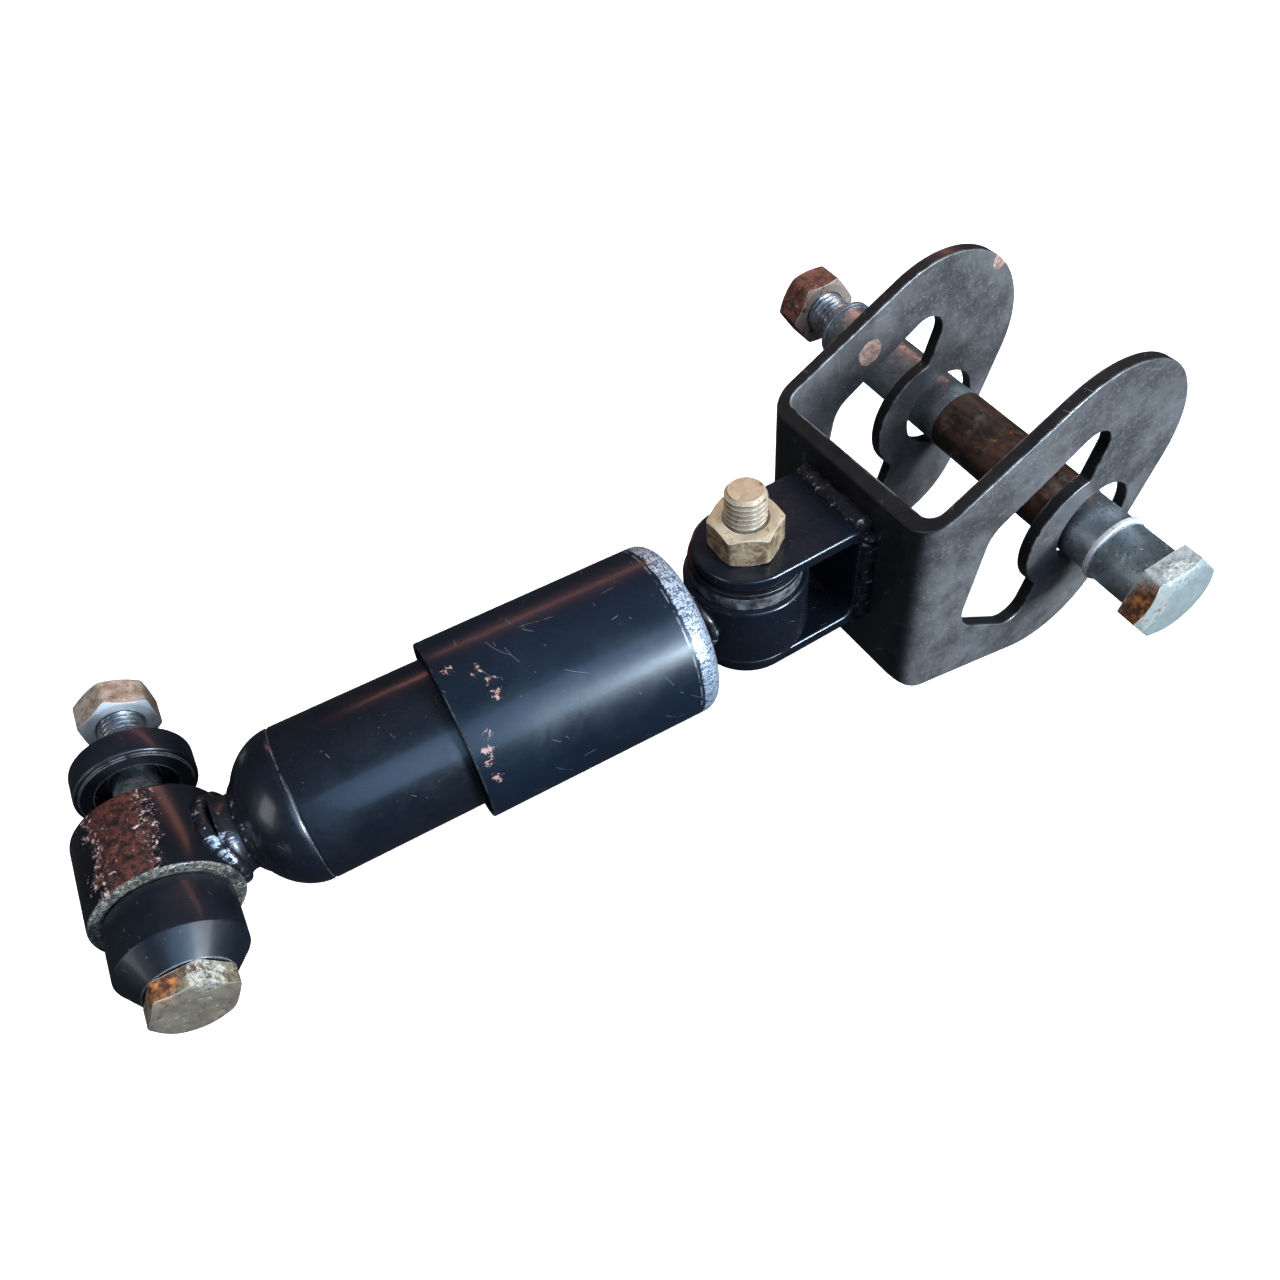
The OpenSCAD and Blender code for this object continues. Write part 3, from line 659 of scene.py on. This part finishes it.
def threaded(radius, low, high, thread_low, pitch, matrix):
    """Shank from low to high whose thread, a true helix, starts at thread_low."""
    mesh = bmesh.new()
    length = high - thread_low
    rows = max(2, int(length / pitch * THREAD_ROWS))
    heights = [low, thread_low] + [thread_low + length * (i + 1) / rows for i in range(rows)]

    def place_at(angle, height):
        """Radius and height on the thread, which runs in over its first turn."""
        phase = (height / pitch - angle / TURN) % 1.0
        wave = (abs(2 * phase - 1) - THREAD_CREST) / THREAD_FLANK
        cut = THREAD_DEPTH * pitch * min(1.0, max(0.0, wave))
        run_in = min(1.0, max(0.0, (height - thread_low) / pitch))
        return min(radius - cut * run_in, radius - END_CONE + (high - height)), height

    rings = [add_ring(mesh, matrix, THREAD_STEPS, lambda angle: place_at(angle, height))
             for height in heights]
    skin_rings(mesh, rings, closed=False)
    return mesh


def join_into(target, other):
    """Adds the geometry of one bmesh to another and frees it."""
    data = bpy.data.meshes.new("scratch")
    other.to_mesh(data)
    other.free()
    target.from_mesh(data)
    bpy.data.meshes.remove(data)


def softened_copy(node):
    """The CAD node's own shape as a tidy bmesh, ready to have its edges rounded."""
    same_place = 0.002 * MM
    flat = math.radians(0.3)
    mesh = bmesh.new()
    mesh.from_mesh(frame["nodes"][node].data)
    bmesh.ops.remove_doubles(mesh, verts=mesh.verts, dist=same_place)
    bmesh.ops.dissolve_limit(mesh, angle_limit=flat, verts=mesh.verts, edges=mesh.edges)
    return mesh


BEAD_SIDES = 14
BEAD_RIPPLE = 2.3  # length of one ripple of a weld, in millimetres
BEAD_LUMPS = 320  # fineness of its unevenness, per metre
BEAD_ACROSS = Vector((0.31, 0.17, 0.93))  # a direction that no bead runs along


def weld_bead(path, radius, seed, closed=False):
    """A rippled bead of weld along path, a list of points in metres."""
    rng = random.Random(seed)
    mesh = bmesh.new()
    rings = []
    count = len(path)
    travelled = 0.0
    for index, point in enumerate(path):
        before = path[index - 1] if (index or closed) else point
        after = path[(index + 1) % count] if (index + 1 < count or closed) else point
        forward = (after - before).normalized()
        if index:
            travelled += (point - path[index - 1]).length / MM
        side = forward.cross(BEAD_ACROSS).normalized()
        up = side.cross(forward)
        wave = abs(math.sin(math.pi * travelled / BEAD_RIPPLE))
        swell = 1 + 0.04 * wave + rng.uniform(-0.02, 0.02)
        ends = 1.0 if closed else min(1.0, 0.45 + 0.35 * min(index, count - 1 - index))
        ring = []
        for step in range(BEAD_SIDES):
            angle = TURN * step / BEAD_SIDES
            out = side * math.cos(angle) + up * math.sin(angle)
            lump = 1 + 0.28 * noise.noise((point + out * radius * MM) * BEAD_LUMPS)
            ring.append(mesh.verts.new(point + out * radius * swell * ends * lump * MM))
        rings.append(ring)
    skin_rings(mesh, rings, closed)
    return mesh


# ---- Sizes in millimetres; the main ones are the part's own ----

TUBE_R = 24.8
TUBE_WALL = 2
LIP_R = 16  # hole that the rolled end of the tube leaves
LIP_T = 3
CAP_DEPTH = 19.4
COVER_R = 29.8
COVER_WALL = 1.5
COVER_PLATE = 2.5
COVER_CORNER = 6
ROD_HOLE_R = 7.05
ROD_NECK_R = 10
NECK_R = 12

EYE_R = 21
EYE_EDGE = 1.3
LOWER_EYE_HALF = 15
LOWER_BORE_R = 16.5
LOWER_BUSH_BORE_R = 11.06
UPPER_EYE_HALF = 12.5
UPPER_BORE_R = 15.5
UPPER_BUSH_BORE_R = 10.06
FLANGE_R = 18.8
FLANGE_EDGE = 0.6
FLANGE_LOW = -14.1
FLANGE_TOP = 17.1
WASHER_R = 19.2
WASHER_BORE_R = 10.1
WASHER_T = 2
WASHER_LOWS = (17.5, -16.5)

COLLAR_R = 17.7
COLLAR_BORE_R = 7.4
COLLAR_EDGE = 0.9
COLLAR_STRAIGHT = 15.7  # length of the lower collar before its nose
NOSE_R = 12
LOOSE_EDGE = 0.8  # rounding of the loose collar
SPIGOT_R = 16.2
SPIGOT_H = 1
COUNTERBORE_R = 12
COUNTERBORE_H = 5

CLEVIS_TOP = 24.5
CLEVIS_BOTTOM = -21.5
CLEVIS_R = 18
WEB_X = 38
SLEEVE_BORE_R = 9.1
SLEEVE_EDGE = 0.45

Thread = namedtuple("Thread", "bore pitch flats head nut")
M14 = Thread(bore=7.0, pitch=2, flats=22, head=7, nut=11.2)
M18 = Thread(bore=9.0, pitch=2.5, flats=27, head=9, nut=14.4)
WIDE_HEAD = 30  # across the flats of the through bolt's head

SWING = math.radians(3)
BRACKET_FRAME = Matrix.Translation(PIN) @ Matrix.Rotation(SWING, 4, "Z")
EAR_AXIS = Vector((-math.sin(SWING), math.cos(SWING), 0))
HALF_FLAT = math.radians(30)
HEAD_TURN = math.radians(-11)
NUT_TURN = math.radians(-4)
COVER_START, CAP_JOIN = span_along("dust_cover", DAMPER_FRAME)
COVER_END = span_along("cover_cap", DAMPER_FRAME)[1]
TUBE_START, TUBE_END = span_along("reserve_tube", DAMPER_FRAME)


# ---- Damper body ----

def seam_on_eye(neck_r, steps, reach_at):
    """Path round a neck of that radius, in metres; reach_at(y, z) gives its place along X."""
    path = []
    for index in range(steps):
        angle = TURN * index / steps
        y, z = neck_r * math.cos(angle), neck_r * math.sin(angle)
        path.append(Vector((reach_at(y, z), y, z)) * MM)
    return path


def build_lower_eye(paint, weld, rubber):
    ring = rounded_ring(EYE_R, LOWER_BORE_R, -LOWER_EYE_HALF, LOWER_EYE_HALF, EYE_EDGE)
    add_piece("eye_low", lathe(ring, LOWER_FRAME, LARGE_FACETS), paint, "lower_eye")
    neck = [(2, 17)] + arc((NECK_R + 4, 24.5), 4, 250, 180, 6)
    neck += [(NECK_R, 25), (NECK_R + 1.6, 26.2), (NECK_R + 4.4, 29), (2, 29)]
    body = lathe(neck, DAMPER_FRAME, SMALL_FACETS)
    seam = seam_on_eye(NECK_R + 0.6, SMALL_FACETS,
                       lambda y, z: math.sqrt(EYE_R ** 2 - z * z) + 0.4)
    join_into(body, weld_bead(seam, 2.0, 5, closed=True))
    add_piece("neck_weld", body, weld, "lower_eye_weld")
    bush = rounded_ring(LOWER_BORE_R, LOWER_BUSH_BORE_R, -LOWER_EYE_HALF, LOWER_EYE_HALF, 0.6)
    add_piece("bush_low", lathe(bush, LOWER_FRAME, SMALL_FACETS), rubber, "lower_bush")


def build_tube(paint):
    """Domed cap and outer tube, with the groove of their seam and the rolled lip."""
    angles = [math.radians(4 * step) for step in range(1, 23)]
    dome = [(0, TUBE_START - CAP_DEPTH)]
    dome += [(TUBE_R * math.sin(a), TUBE_START - CAP_DEPTH * math.cos(a)) for a in angles]
    dome += [(TUBE_R - 0.35, TUBE_START - 0.1), (TUBE_R - 2.6, TUBE_START + 0.1)]
    dome += [(0, TUBE_START + 0.1)]
    cap = lathe(dome, DAMPER_FRAME, LARGE_FACETS, closed=False)
    add_piece("cap_low", cap, paint, "base_cap")
    wall = [(TUBE_R - 0.4, TUBE_START), (TUBE_R - 0.1, TUBE_START + 0.3)]
    wall += [(TUBE_R, TUBE_START + 0.8), (TUBE_R, TUBE_START + 30), (TUBE_R, TUBE_END - 30)]
    wall += arc((TUBE_R - LIP_T, TUBE_END - LIP_T), LIP_T, 0, 90, 8)
    wall += [(LIP_R, TUBE_END), (LIP_R, TUBE_END - LIP_T)]
    wall += [(TUBE_R - TUBE_WALL, TUBE_END - LIP_T), (TUBE_R - TUBE_WALL, TUBE_START)]
    add_piece("tube_outer", lathe(wall, DAMPER_FRAME, LARGE_FACETS), paint, "reserve_tube")


def build_cover(paint, weld):
    """Dust cover, its pressed end, and the welded neck to the upper eye."""
    inside = COVER_R - COVER_WALL
    lip = 0.6
    skin = [(COVER_R, CAP_JOIN), (COVER_R, COVER_START + 20)]
    skin += arc((COVER_R - lip, COVER_START + lip), lip, 0, -180, 8)
    skin += [(inside, COVER_START + 20), (inside, CAP_JOIN)]
    add_piece("cover_skin", lathe(skin, DAMPER_FRAME, LARGE_FACETS), paint, "dust_cover")
    bend_r, bend_x = COVER_R - COVER_CORNER, COVER_END - COVER_CORNER
    cap = [(COVER_R, CAP_JOIN)] + arc((bend_r, bend_x), COVER_CORNER, 0, 90, 12)
    cap += [(ROD_HOLE_R, COVER_END), (ROD_HOLE_R, COVER_END - COVER_PLATE)]
    cap += [(bend_r, COVER_END - COVER_PLATE), (inside, bend_x), (inside, CAP_JOIN)]
    add_piece("cover_end", lathe(cap, DAMPER_FRAME, LARGE_FACETS), paint, "cover_cap")
    pin_x = PIN.x / MM
    neck = [(ROD_HOLE_R, COVER_END), (ROD_NECK_R + 1, COVER_END), (ROD_NECK_R, COVER_END + 2)]
    neck += [(ROD_NECK_R - 0.4, pin_x - 19), (ROD_HOLE_R, pin_x - 19)]
    body = lathe(neck, DAMPER_FRAME, NECK_FACETS)
    seam = seam_on_eye(ROD_NECK_R, NECK_FACETS,
                       lambda y, z: pin_x - math.sqrt(EYE_R ** 2 - y * y) - 0.4)
    join_into(body, weld_bead(seam, 1.9, 9, closed=True))
    add_piece("rod_weld", body, weld, "upper_eye_weld")


def build_upper_eye(paint, rubber, steel):
    """Upper eye with its flanged bush and the steel washers above and below it."""
    at_pin = Matrix.Translation(PIN)
    ring = rounded_ring(EYE_R, UPPER_BORE_R, -UPPER_EYE_HALF, UPPER_EYE_HALF, EYE_EDGE)
    add_piece("eye_high", lathe(ring, at_pin, LARGE_FACETS), paint, "upper_eye")
    rim = FLANGE_R - FLANGE_EDGE
    bush = [(UPPER_BUSH_BORE_R, FLANGE_LOW)]
    bush += arc((rim, FLANGE_LOW + FLANGE_EDGE), FLANGE_EDGE, -90, 0, 4)
    bush += [(FLANGE_R, -UPPER_EYE_HALF), (UPPER_BORE_R, -UPPER_EYE_HALF)]
    bush += [(UPPER_BORE_R, UPPER_EYE_HALF), (FLANGE_R, UPPER_EYE_HALF)]
    bush += arc((rim, FLANGE_TOP - FLANGE_EDGE), FLANGE_EDGE, 0, 90, 4)
    bush += [(UPPER_BUSH_BORE_R, FLANGE_TOP)]
    add_piece("bush_high", lathe(bush, at_pin), rubber, "upper_bush")
    washers = bmesh.new()
    for low in WASHER_LOWS:
        ring = rounded_ring(WASHER_R, WASHER_BORE_R, low, low + WASHER_T, 0.35)
        join_into(washers, lathe(ring, at_pin))
    add_piece("washers_high", washers, steel, "thrust_washers")


# ---- Bolt groups ----

def build_collars(paint):
    """Collar with a nose at the head side, and the loose collar with spigot and counterbore."""
    low, high = span_along("lower_collar", LOWER_FRAME)
    rim = COLLAR_R - COLLAR_EDGE
    nosed = [(COLLAR_BORE_R, low), (NOSE_R, low)]
    nosed += arc((rim, high - COLLAR_STRAIGHT), COLLAR_EDGE, -36, 0, 4)
    nosed += arc((rim, high - COLLAR_EDGE), COLLAR_EDGE, 0, 90, 4)
    nosed += [(COLLAR_BORE_R, high)]
    add_piece("collar_low", lathe(nosed, LOWER_FRAME), paint, "lower_collar")
    low, high = span_along("upper_collar", LOWER_FRAME)
    rim = COLLAR_R - LOOSE_EDGE
    loose = [(COUNTERBORE_R, low), (SPIGOT_R, low), (SPIGOT_R, low + SPIGOT_H)]
    loose += arc((rim, low + SPIGOT_H + LOOSE_EDGE), LOOSE_EDGE, -90, 0, 4)
    loose += arc((rim, high - LOOSE_EDGE), LOOSE_EDGE, 0, 90, 4)
    loose += [(COLLAR_BORE_R, high), (COLLAR_BORE_R, low + COUNTERBORE_H)]
    loose += [(COUNTERBORE_R, low + COUNTERBORE_H)]
    add_piece("collar_high", lathe(loose, LOWER_FRAME), paint, "upper_collar")


def build_bolt(name, node, matrix, size, head_paint, shank_paint, under_head, tip, thread_from,
               flats, turn=0.0, slack=0.1):
    """A hexagon-headed bolt. Its places are along the Z axis of matrix, the head lies below
    under_head, and slack is how much thinner the shank is than its nut's bore."""
    mesh = hexagon(flats, under_head - size.head, under_head, 0, ("low",), matrix, turn)
    sunk = under_head - 0.3
    shank = threaded(size.bore - slack, sunk, tip, thread_from, size.pitch, matrix)
    for face in shank.faces:
        face.material_index = 1
    join_into(mesh, shank)
    add_piece(name, mesh, head_paint, node, second=shank_paint)


def build_nut(name, node, matrix, size, paint, under_nut, turn):
    mesh = hexagon(size.flats, under_nut, under_nut + size.nut, size.bore, ("low", "top"),
                   matrix, turn)
    add_piece(name, mesh, paint, node)


def build_fasteners(metal):
    """The three bolts with their nuts; metal holds the zinc materials by name."""
    build_bolt("bolt_low", "lower_bolt", LOWER_FRAME, M14, metal["head_low"],
               metal["shank_low"], under_head=-39.5, tip=68.4, thread_from=36, flats=M14.flats)
    build_nut("nut_low", "lower_nut", LOWER_FRAME, M14, metal["nut_low"], under_nut=58.2,
              turn=HALF_FLAT)
    build_bolt("bolt_clevis", "clevis_bolt", BRACKET_FRAME, M14, metal["cream"],
               metal["cream_thread"], under_head=CLEVIS_BOTTOM, tip=47.2, thread_from=24,
               flats=M14.flats, slack=0.15)
    build_nut("nut_clevis", "clevis_nut", BRACKET_FRAME, M14, metal["cream"],
              under_nut=CLEVIS_TOP, turn=HALF_FLAT)
    build_bolt("bolt_through", "through_bolt", THROUGH_FRAME, M18, metal["head_through"],
               metal["shank_through"], under_head=-74.3, tip=132.4, thread_from=98,
               flats=WIDE_HEAD, turn=HEAD_TURN)
    build_nut("nut_through", "through_nut", THROUGH_FRAME, M18, metal["rusty_nut"],
              under_nut=118, turn=NUT_TURN)


def build_sleeves(pale, bright, rusty):
    """Sleeves and washers on the through bolt, each as long and as wide as its CAD node."""
    paints = {"near_spacer": pale, "near_sleeve": pale, "middle_sleeve": rusty,
              "far_sleeve": pale, "near_washer": bright, "far_washer": pale}
    for node, material in paints.items():
        low, high = span_along(node, THROUGH_FRAME)
        outer = radius_about(node, THROUGH_FRAME)
        ring = rounded_ring(outer, SLEEVE_BORE_R, low, high, SLEEVE_EDGE)
        add_piece(node + "_ring", lathe(ring, THROUGH_FRAME, SMALL_FACETS), material, node)


# ---- Clevis and bracket ----

def halves(first, last):
    """Places half a millimetre apart, from first to last."""
    return [step * 0.5 for step in range(2 * first, 2 * last + 1)]


def build_clevis_group(clevis_paint, plate, weld):
    """Clevis strap, bracket plate and the four beads that join them."""
    add_piece("clevis_strap", softened_copy("clevis"), clevis_paint, "clevis", bevel=1.1)
    add_piece("bracket_plate", softened_copy("bracket"), plate, "bracket", bevel=0.7)
    beads = bmesh.new()
    for z, seed in ((CLEVIS_TOP - 1.6, 21), (CLEVIS_BOTTOM + 1.6, 22)):
        path = [BRACKET_FRAME @ (Vector((WEB_X - 2, y, z)) * MM) for y in halves(-18, 18)]
        join_into(beads, weld_bead(path, 3.4, seed))
    for y, seed in ((-CLEVIS_R, 23), (CLEVIS_R, 24)):
        path = [BRACKET_FRAME @ (Vector((WEB_X - 1.4, y, z)) * MM) for z in halves(-18, 21)]
        join_into(beads, weld_bead(path, 2.6, seed))
    add_piece("web_weld", beads, weld, "clevis_weld")


# ---- Build ----

def zinc_materials():
    """Plated steel of the bolts, nuts and sleeves, each as worn as its place in the view."""
    silver = rgb(0.62, 0.68, 0.74)
    from_above, from_head = (0, 0, 1), (0, -1, 0)
    return {
        "head_low": zinc(
            "head_low_zinc", 13, rgb(0.38, 0.33, 0.22), rgb(0.13, 0.085, 0.05), 0.36, metal=0.45,
            rust_at=[((-4, -42, 10), 5)], pale_at=[((8, -43, 9), 6)],
            face=(from_head, rgb(0.27, 0.21, 0.16))),
        "shank_low": zinc(
            "shank_low_zinc", 20, rgb(0.50, 0.56, 0.60), rgb(0.22, 0.25, 0.28), 0.08, rough=0.35),
        "nut_low": zinc(
            "nut_zinc", 17, rgb(0.46, 0.38, 0.31), rgb(0.26, 0.19, 0.14), 0.18, metal=0.4,
            face=(from_head, silver)),
        # painted light: the top of the clevis head and nut is painted lighter, as if lit from above
        "cream": zinc(
            "cream_zinc", 14, rgb(0.48, 0.35, 0.21), rgb(0.17, 0.095, 0.05), 0.34, metal=0.35,
            rust_at=[((193, -2, CLEVIS_TOP + 12), 4)],
            face=(from_above, rgb(0.56, 0.47, 0.32))),
        # painted light: the upward faces of the clevis thread are painted lighter, as if lit from above
        "cream_thread": zinc(
            "cream_thread_zinc", 22, rgb(0.42, 0.29, 0.18), rgb(0.14, 0.075, 0.04), 0.40,
            metal=0.3, face=(from_above, rgb(0.50, 0.38, 0.25))),
        "head_through": zinc(
            "head_zinc", 18, rgb(0.44, 0.46, 0.44), rgb(0.24, 0.24, 0.22), 0.12, metal=0.4,
            rust_at=[((305, -77, -2), 11)], pale_at=[((317, -78, 10.5), 7)],
            face=(from_head, rgb(0.34, 0.38, 0.35))),
        "shank_through": zinc(
            "shank_through_zinc", 21, rgb(0.52, 0.55, 0.58), rgb(0.24, 0.25, 0.27), 0.12,
            rough=0.35),
        "rusty_nut": zinc(
            "rusty_nut", 19, rgb(0.17, 0.07, 0.05), rgb(0.045, 0.02, 0.015), 0.10, metal=0.1,
            face=(from_head, rgb(0.42, 0.34, 0.27))),
        "pale": zinc(
            "pale_zinc", 15, rgb(0.52, 0.59, 0.63), rgb(0.40, 0.46, 0.50), 0.02, rough=0.32,
            metal=0.9),
        "bright": zinc(
            "bright_zinc", 16, rgb(0.86, 0.87, 0.86), rgb(0.62, 0.62, 0.61), 0.0, rough=0.4,
            metal=0.4),
    }


def paint_inside(rubber, rust, steel):
    """Materials of the nodes that keep their CAD mesh, nearly all of them hidden."""
    tube_steel = plain_metal("inner_tube_steel", 41, rgb(0.52, 0.53, 0.55), 0.25)
    sintered = plain_metal("sintered_iron", 42, rgb(0.30, 0.29, 0.28), 0.6)
    inside = {
        "pressure_tube": tube_steel,
        "base_valve": sintered,
        "rod_seal": rubber,
        "piston_band": plain_metal("bronze_band", 44, rgb(0.32, 0.17, 0.09), 0.5),
        "piston_rod": plain_metal("rod_chrome", 45, rgb(0.72, 0.73, 0.75), 0.12),
        "rod_guide": sintered,
        "piston": sintered,
        "piston_nut": tube_steel,
        "lower_inner_sleeve": rust,
        "upper_inner_sleeve": steel,
    }
    for node, material in inside.items():
        data = frame["nodes"][node].data
        data.materials.clear()
        data.materials.append(material)


def build_all():
    tube_paint = black_paint("tube_paint", 1, 0.26, wear=0.7)
    cover_paint = cover_material(COVER_START, COVER_END - COVER_CORNER, COVER_END, COVER_R)
    upper_paint = black_paint("upper_eye_paint", 3, 0.22, 0.9, rgb(0.62, 0.50, 0.46))
    collar_paint = black_paint("collar_paint", 4, 0.36, 1.0, rgb(0.52, 0.49, 0.45))
    clevis_paint = black_paint("clevis_paint", 6, 0.22, wear=0.7)
    bare_spots = [((277.8, 41.1, 41), 5), ((336, 44, 55.5), 3.5)]
    plate = worn_plate("bracket_paint", 8, EAR_AXIS, bare_spots)
    weld = weld_material()
    rubber = rubber_material("rubber", 0.45, rgb(0.16, 0.15, 0.14))
    scuffed_rubber = rubber_material("scuffed_rubber", 0.36, rgb(0.24, 0.24, 0.25))
    rust = rust_material()
    steel = plain_metal("dark_washer", 12, rgb(0.10, 0.105, 0.11), 0.34, ring_axis=2)
    metal = zinc_materials()

    build_lower_eye(eye_material(), weld, rubber)
    build_tube(tube_paint)
    build_cover(cover_paint, weld)
    build_upper_eye(upper_paint, scuffed_rubber, steel)
    build_collars(collar_paint)
    build_clevis_group(clevis_paint, plate, weld)
    build_sleeves(metal["pale"], metal["bright"], rust)
    build_fasteners(metal)
    paint_inside(rubber, rust, steel)


# ---- Studio ----

FLOOR_PLACE = (0.15, 0.3, -0.062)
FLOOR_HALF = 6
LIGHT_TARGET = Vector((0.16, 0.0, 0.0))
CAMERA_PLACE = (0.0734, -0.1995, 0.2668)
CAMERA_FORWARD = Vector((0.2675, 0.5806, -0.7690))
CAMERA_RIGHT = Vector((0.8711, -0.4869, -0.0645))
SENSOR_WIDTH = 36
FOCAL_LENGTH = 29.3
LENS_SHIFT = (-0.0129, -0.0086)


def make_floor():
    """Wide white floor that glows a little, so that the picture's ground is nearly white."""
    mesh = bmesh.new()
    bmesh.ops.create_grid(mesh, x_segments=2, y_segments=2, size=FLOOR_HALF)
    floor = new_object("floor", mesh)
    floor.location = FLOOR_PLACE
    material = bpy.data.materials.new("floor_white")
    material.use_nodes = True
    shader = material.node_tree.nodes["Principled BSDF"]
    shader.inputs["Base Color"].default_value = rgb(0.85, 0.85, 0.85)
    shader.inputs["Roughness"].default_value = 0.9
    shader.inputs["Emission Color"].default_value = rgb(1, 1, 1)
    shader.inputs["Emission Strength"].default_value = 0.75
    floor.data.materials.append(material)
    floor.visible_glossy = False
    floor.visible_diffuse = False


def area_light(name, direction, distance, size, power, colour):
    """A softbox that looks at the object from the given direction."""
    data = bpy.data.lights.new(name, "AREA")
    data.shape = "RECTANGLE"
    data.size = size[0]
    data.size_y = size[1]
    data.energy = power
    data.color = colour
    lamp = bpy.data.objects.new(name, data)
    away = Vector(direction).normalized()
    lamp.location = LIGHT_TARGET + away * distance
    lamp.rotation_euler = away.to_track_quat("Z", "Y").to_euler()
    bpy.context.scene.collection.objects.link(lamp)
    return lamp


def make_lights():
    """A cool window with a bright core, a soft top light and three fills."""
    area_light("window", direction=(0.18, -0.80, 0.56), distance=1.3, size=(1.3, 1.0),
               power=11, colour=(0.34, 0.60, 1.0))
    area_light("window_core", direction=(0.46, -0.88, 0.32), distance=1.3, size=(0.36, 0.24),
               power=32, colour=(0.70, 0.86, 1.0))
    overhead = area_light("overhead", direction=(0.05, 0.10, 1.0), distance=1.2,
                          size=(0.9, 0.9), power=17, colour=(0.98, 0.98, 1.0))
    overhead.visible_glossy = False
    area_light("warm_card", direction=(0.35, 0.75, 0.45), distance=1.6, size=(1.6, 0.22),
               power=3, colour=(1.0, 0.42, 0.32))
    area_light("side_fill", direction=(-1.0, -0.2, 0.5), distance=1.5, size=(0.6, 0.8),
               power=4, colour=(0.92, 0.96, 1.0))
    area_light("ear_sky", direction=(0.80, -0.58, 0.50), distance=1.6, size=(0.8, 0.8),
               power=7, colour=(1.0, 0.96, 0.92))
    world = bpy.data.worlds.new("studio")
    world.use_nodes = True
    background = world.node_tree.nodes["Background"]
    background.inputs["Color"].default_value = rgb(0.80, 0.88, 1.0)
    background.inputs["Strength"].default_value = 0.035
    bpy.context.scene.world = world


def make_camera():
    """Camera at the viewing angle of the photograph."""
    data = bpy.data.cameras.new("camera")
    data.sensor_width = SENSOR_WIDTH
    data.lens = FOCAL_LENGTH
    data.shift_x, data.shift_y = LENS_SHIFT
    data.clip_start = 0.01
    camera = bpy.data.objects.new("camera", data)
    forward = CAMERA_FORWARD.normalized()
    right = CAMERA_RIGHT.normalized()
    up = right.cross(forward).normalized()
    axes = Matrix((right, up, -forward)).transposed()
    camera.matrix_world = Matrix.Translation(CAMERA_PLACE) @ axes.to_4x4()
    bpy.context.scene.collection.objects.link(camera)
    bpy.context.scene.camera = camera
    bpy.context.scene.view_settings.view_transform = "Standard"


build_all()
make_floor()
make_lights()
make_camera()
